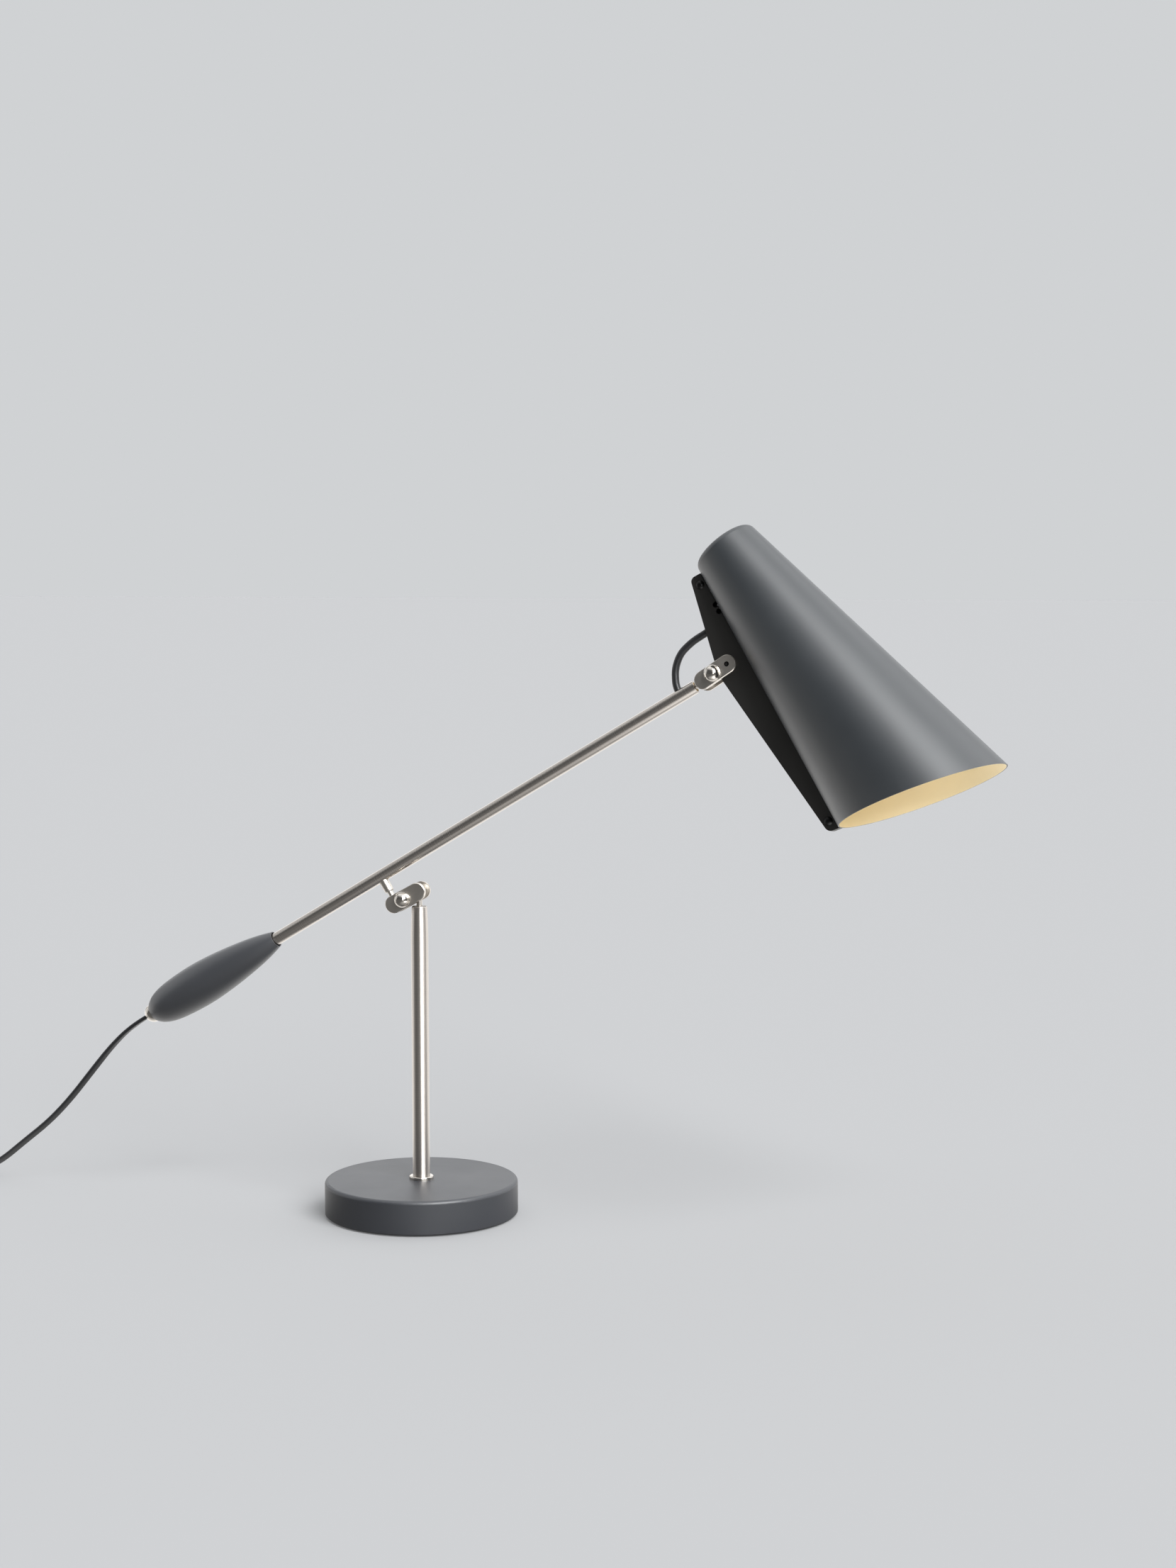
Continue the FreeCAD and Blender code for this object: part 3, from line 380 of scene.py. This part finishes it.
# The same points as the CAD's route.
GLAND_TIP_MM, STRAIGHT_OUT_MM = -202.6, -217.2
LEAD_HANG = [(-0.229, 0, 0.1022), (-0.2455, 0, 0.0826), (-0.2625, 0, 0.0622),
             (-0.280, 0, 0.0446), (-0.300, 0, 0.0290), (-0.318, 0, 0.0144),
             (-0.332, 0, 0.0078)]
SWITCH_IN = Vector((-0.345, 0, 0.0066))
SWITCH_OUT = Vector((-0.401, 0, 0.0066))
COIL_ENTRY = (-0.4152, 0, 0.0071)
PLUG_TAIL = [(-0.4152, -0.069, 0.0050), (-0.4055, -0.069, 0.0072)]

# The coil: two layers of turns, joined by half a turn at the inside.
COIL_CENTRE = Vector((-0.432, -0.0345, 0))
COIL_OUTER, COIL_INNER, COIL_STEP = 0.0345, 0.0201, 0.0032
COIL_HIGH, COIL_LOW = 0.0073, 0.00245
TURNS_A_LAYER = (COIL_OUTER - COIL_INNER) / COIL_STEP
DROP_TURNS, DROP_TUCK = 0.5, 0.0005
POINTS_A_TURN = 24

# Millimetres along the lead, and degrees its broad side has turned by there.
HANG_TWIST = [(0, 4), (14, 10), (60, 36), (200, 44)]
NO_TWIST = [(0, 0)]


def coil_points():
    """Spirals in on the upper layer, drops over half a turn, and spirals out below it."""
    points = []
    total = 2 * TURNS_A_LAYER + DROP_TURNS
    steps = int(total * POINTS_A_TURN)
    for i in range(1, steps):
        turn = total * i / steps
        if turn < TURNS_A_LAYER:
            radius, height = COIL_OUTER - COIL_STEP * turn, COIL_HIGH
        elif turn < TURNS_A_LAYER + DROP_TURNS:
            way = (turn - TURNS_A_LAYER) / DROP_TURNS
            radius = COIL_INNER - DROP_TUCK * math.sin(math.pi * way)
            height = COIL_HIGH + (COIL_LOW - COIL_HIGH) * way
        else:
            radius = COIL_INNER + COIL_STEP * (turn - TURNS_A_LAYER - DROP_TURNS)
            height = COIL_LOW
        angle = math.pi / 2 + 2 * math.pi * turn
        points.append(COIL_CENTRE + Vector((radius * math.cos(angle),
                                            radius * math.sin(angle), height)))
    return points


def smooth_line(name, points):
    """Points read from the NURBS line that a route's points control."""
    curve = bpy.data.curves.new(name + "_route", "CURVE")
    curve.dimensions = "3D"
    curve.resolution_u = 8
    spline = curve.splines.new("NURBS")
    spline.points.add(len(points) - 1)
    for control, point in zip(spline.points, points):
        control.co = (*point, 1)
    spline.order_u = 3
    spline.use_endpoint_u = True
    route = bpy.data.objects.new(name + "_route", curve)
    line = bpy.data.meshes.new_from_object(route)
    found = [v.co.copy() for v in line.vertices]
    bpy.data.meshes.remove(line)
    bpy.data.objects.remove(route)
    bpy.data.curves.remove(curve)
    return found


def flat_section(turn):
    """Points round a flat twin lead, in its own two directions, turned by an angle."""
    half = (LEAD_WIDE_MM - LEAD_THIN_MM) / 2 * MM
    radius = LEAD_THIN_MM / 2 * MM
    points = []
    for k in range(LEAD_SIDES):
        angle = 2 * math.pi * (k + 0.5) / LEAD_SIDES
        waist = 1 - WAIST_DEPTH * math.exp(-(math.cos(angle) / WAIST_WIDTH) ** 2)
        core = math.copysign(half, math.cos(angle))
        x = core * min(1, abs(math.cos(angle)) * CORE_SPREAD)
        points.append((x + radius * math.cos(angle), radius * math.sin(angle) * waist))
    c, s = math.cos(turn), math.sin(turn)
    return [(x * c - y * s, x * s + y * c) for x, y in points]


def twist_at(twists, length):
    """The turn, in radians, at a length in millimetres; it eases from each place to the next."""
    for (start, low), (end, high) in zip(twists, twists[1:]):
        if length <= end:
            way = (length - start) / (end - start)
            way = way * way * (3 - 2 * way)
            return math.radians(low + (high - low) * way)
    return math.radians(twists[-1][1])


def flat_lead(name, line, side, twists):
    """A flat lead along a line. side is its wide direction where its twist is 0."""
    rings = []
    length = 0.0
    for i, point in enumerate(line):
        ahead = (line[min(i + 1, len(line) - 1)] - line[max(i - 1, 0)]).normalized()
        if i:
            length += (point - line[i - 1]).length
        wide = (side - ahead * side.dot(ahead)).normalized()
        thin = ahead.cross(wide)
        rings.append([point + wide * x + thin * y
                      for x, y in flat_section(twist_at(twists, length / MM))])
    verts, faces = strip(rings)
    return add_mesh(name, verts, faces, LEAD)


def make_mains_leads():
    gland_tip, straight_out = on_arm(GLAND_TIP_MM), on_arm(STRAIGHT_OUT_MM)
    route = [gland_tip, straight_out] + [Vector(p) for p in LEAD_HANG] + [SWITCH_IN]
    line = smooth_line("mains_cord", route)
    across = Vector((0, 1, 0))
    cord = flat_lead("mains_cord", line, across, HANG_TWIST)
    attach(cord, "arm")
    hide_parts("mains_lead")

    route = [SWITCH_OUT, Vector(COIL_ENTRY)] + coil_points() + [Vector(p) for p in PLUG_TAIL]
    line = smooth_line("mains_cord_to_plug", route)
    upright = Vector((0, 0, 1))
    coil = flat_lead("mains_cord_to_plug", line, upright, NO_TWIST)
    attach(coil, "arm")
    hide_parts("mains_lead_switched", "lead_coil", "plug_lead")


make_mains_leads()

# The strap's place on the coil, its loop round the turns, and its own size.
TIE_BEARING = math.radians(155)
TIE_OUT, TIE_RISE = 0.0273, 0.0053
TIE_HALF_DEEP, TIE_HALF_HIGH = 0.0094, 0.0049
TIE_HALF_WIDE, TIE_HALF_THICK = 0.0035, 0.0004
TIE_SECTION = [(-1, -0.4), (-0.93, -1), (0.93, -1), (1, -0.4),
               (1, 0.4), (0.93, 1), (-0.93, 1), (-1, 0.4)]
TIE_STEPS = 110

# Degrees round the loop: where it starts, how far it goes, and where its tail climbs.
TIE_START, TIE_SWEEP, TIE_CLIMB_FROM, TIE_CLIMB_OVER = 70, 450, 310, 50
TIE_CLIMB = 2.2                               # as a number of half thicknesses


def make_coil_tie():
    """A hook-and-loop strap closed round the coil, its tail lapped over its start."""
    outward = Vector((math.cos(TIE_BEARING), math.sin(TIE_BEARING), 0))
    along = Vector((0, 0, 1)).cross(outward)
    line = []
    for i in range(TIE_STEPS + 1):
        gone = TIE_SWEEP * i / TIE_STEPS
        climbed = min(1, max(0, (gone - TIE_CLIMB_FROM) / TIE_CLIMB_OVER))
        lap = TIE_CLIMB * TIE_HALF_THICK * climbed
        angle = math.radians(TIE_START + gone)
        c, s = math.cos(angle), math.sin(angle)
        deep = math.copysign(abs(c) ** 0.5, c) * (TIE_HALF_DEEP + lap)
        high = math.copysign(abs(s) ** 0.5, s) * (TIE_HALF_HIGH + lap)
        line.append(COIL_CENTRE + outward * (TIE_OUT + deep) + Vector((0, 0, TIE_RISE + high)))
    rings = []
    for i, point in enumerate(line):
        ahead = (line[min(i + 1, TIE_STEPS)] - line[max(i - 1, 0)]).normalized()
        out = along.cross(ahead)
        rings.append([point + along * x * TIE_HALF_WIDE + out * y * TIE_HALF_THICK
                      for x, y in TIE_SECTION])
    verts, faces = strip(rings)
    tie = add_mesh("coil_tie", verts, faces, STRAP)
    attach(tie, "arm")


make_coil_tie()

# ---------------------------------------------------------------- studio

# What the camera sees, and the floor's own colour and glow.
BACKDROP = (0.631, 0.645, 0.658)
FLOOR_GREY = (0.268, 0.269, 0.275)
FLOOR_GLOW = 0.165
FLOOR_HALF_SIZE, FLOOR_DROP = 30, 0.0002

# What the lamp gets back from the floor and the room, in front of it and behind it.
AWAY = (-0.29, 0.957, 0)                      # level, the way the camera looks
FLOOR_FRONT, FLOOR_BEHIND = 0.16, 1.3
ROOM_FRONT, ROOM_BACK, ROOM_TOP = 0.10, 0.62, 1.0
FLOOR_LIGHT, ROOM_LIGHT = (1.0, 0.99, 0.975), (0.985, 0.995, 1.0)

# Where one gives way to the other: metres along AWAY on the floor, and cosines in the room.
FLOOR_CHANGE, ROOM_CHANGE, TOP_CHANGE = (-0.05, 0.14), (-0.35, 0.6), (0.55, 0.95)

# Centre, inner and outer radius, radiance given back.
FLOOR_PATCHES = [((0.68, -0.20), 0.20, 0.52, 2.2), ((0.30, -0.33), 0.12, 0.5, 0.45)]

# Azimuth and elevation in degrees, half width and height as tangents, radiance.
PANELS = [
    (-38, 39, 0.30, 0.36, 14.0),
    (-60, 12, 0.07, 0.20, 8.0),
    (112, 20, 0.60, 0.22, 0.85),
    (188, 12, 0.45, 0.40, 0.55),
    (45, 8, 0.40, 0.30, 0.8),
    (45, 40, 0.40, 0.30, 1.2),
]
PANEL_EDGE = 0.06
LEAST_DEPTH, FULL_DEPTH = 0.02, 0.1           # cosines from its middle, where a panel fades out


def value(tree, operation, *sources):
    """A math node; each source is a number or another node's output."""
    made = tree.nodes.new("ShaderNodeMath")
    made.operation = operation
    for socket, source in zip(made.inputs, sources):
        if isinstance(source, (int, float)):
            socket.default_value = source
        else:
            tree.links.new(source, socket)
    return made.outputs[0]


def toward(tree, direction, axis):
    """How far a direction or a place reaches along an axis."""
    made = tree.nodes.new("ShaderNodeVectorMath")
    made.operation = "DOT_PRODUCT"
    tree.links.new(direction, made.inputs[0])
    made.inputs[1].default_value = axis
    return made.outputs["Value"]


def ease(tree, source, start, end, low=0.0, high=1.0):
    """Goes smoothly from low to high as the source goes from start to end."""
    made = tree.nodes.new("ShaderNodeMapRange")
    made.interpolation_type = "SMOOTHSTEP"
    tree.links.new(source, made.inputs["Value"])
    for name, number in (("From Min", start), ("From Max", end), ("To Min", low),
                         ("To Max", high)):
        made.inputs[name].default_value = number
    return made.outputs["Result"]


def seen_or_given(tree, given, seen):
    """One shader for what the camera sees, and another for the light that is given back."""
    path = tree.nodes.new("ShaderNodeLightPath")
    mix = tree.nodes.new("ShaderNodeMixShader")
    tree.links.new(path.outputs["Is Camera Ray"], mix.inputs["Fac"])
    tree.links.new(given, mix.inputs[1])
    tree.links.new(seen, mix.inputs[2])
    return mix.outputs["Shader"]


def make_stage():
    """A pale floor for the camera. To the lamp it is dim in front, but for two patches."""
    material, tree, shader = new_material("floor")
    shader.inputs["Base Color"].default_value = (*FLOOR_GREY, 1)
    shader.inputs["Roughness"].default_value = 1.0
    shader.inputs["Specular IOR Level"].default_value = 0.0
    shader.inputs["Emission Color"].default_value = (*BACKDROP, 1)
    shader.inputs["Emission Strength"].default_value = FLOOR_GLOW
    place = tree.nodes.new("ShaderNodeTexCoord").outputs["Object"]
    given = ease(tree, toward(tree, place, AWAY), *FLOOR_CHANGE, FLOOR_FRONT, FLOOR_BEHIND)
    for centre, inner, outer, strength in FLOOR_PATCHES:
        gap = tree.nodes.new("ShaderNodeVectorMath")
        gap.operation = "DISTANCE"
        tree.links.new(place, gap.inputs[0])
        gap.inputs[1].default_value = (*centre, 0)
        patch = ease(tree, gap.outputs["Value"], inner, outer, strength, 0.0)
        given = value(tree, "ADD", given, patch)
    returned = tree.nodes.new("ShaderNodeEmission")
    returned.inputs["Color"].default_value = (*FLOOR_LIGHT, 1)
    tree.links.new(given, returned.inputs["Strength"])
    both = seen_or_given(tree, returned.outputs["Emission"], shader.outputs["BSDF"])
    tree.links.new(both, tree.nodes["Material Output"].inputs["Surface"])
    far = FLOOR_HALF_SIZE
    corners = [(-far, -far, 0), (far, -far, 0), (far, far, 0), (-far, far, 0)]
    floor = add_mesh("floor", corners, [(0, 1, 2, 3)], material)
    floor.location.z = -FLOOR_DROP


def soft_box(tree, direction, azimuth, elevation, half_wide, half_tall, strength):
    """A soft-edged lit panel far away, as radiance by direction."""
    a, e = math.radians(azimuth), math.radians(elevation)
    ahead = Vector((math.cos(a) * math.cos(e), math.sin(a) * math.cos(e), math.sin(e)))
    side = Vector((-math.sin(a), math.cos(a), 0))
    rise = ahead.cross(side)
    depth = toward(tree, direction, ahead)
    lit = ease(tree, depth, LEAST_DEPTH, FULL_DEPTH)
    for axis, half in ((side, half_wide), (rise, half_tall)):
        place = value(tree, "DIVIDE", toward(tree, direction, axis),
                      value(tree, "MAXIMUM", depth, LEAST_DEPTH))
        within = ease(tree, value(tree, "ABSOLUTE", place), half - PANEL_EDGE,
                      half + PANEL_EDGE, 1.0, 0.0)
        lit = value(tree, "MULTIPLY", lit, within)
    return value(tree, "MULTIPLY", lit, strength)


def make_world():
    """One pale backdrop for the camera; a studio with lit panels for everything else."""
    world = bpy.data.worlds.new("studio")
    bpy.context.scene.world = world
    world.use_nodes = True
    tree = world.node_tree
    tree.nodes.clear()
    direction = tree.nodes.new("ShaderNodeTexCoord").outputs["Generated"]
    room = ease(tree, toward(tree, direction, AWAY), *ROOM_CHANGE, ROOM_FRONT, ROOM_BACK)
    top = ease(tree, toward(tree, direction, (0, 0, 1)), *TOP_CHANGE, 0.0, ROOM_TOP)
    total = value(tree, "ADD", room, top)
    for panel in PANELS:
        total = value(tree, "ADD", total, soft_box(tree, direction, *panel))
    light = tree.nodes.new("ShaderNodeBackground")
    light.inputs["Color"].default_value = (*ROOM_LIGHT, 1)
    tree.links.new(total, light.inputs["Strength"])
    seen = tree.nodes.new("ShaderNodeBackground")
    seen.inputs["Color"].default_value = (*BACKDROP, 1)
    both = seen_or_given(tree, light.outputs["Background"], seen.outputs["Background"])
    out = tree.nodes.new("ShaderNodeOutputWorld")
    tree.links.new(both, out.inputs["Surface"])


make_stage()
make_world()
bpy.context.scene.view_settings.view_transform = "Standard"
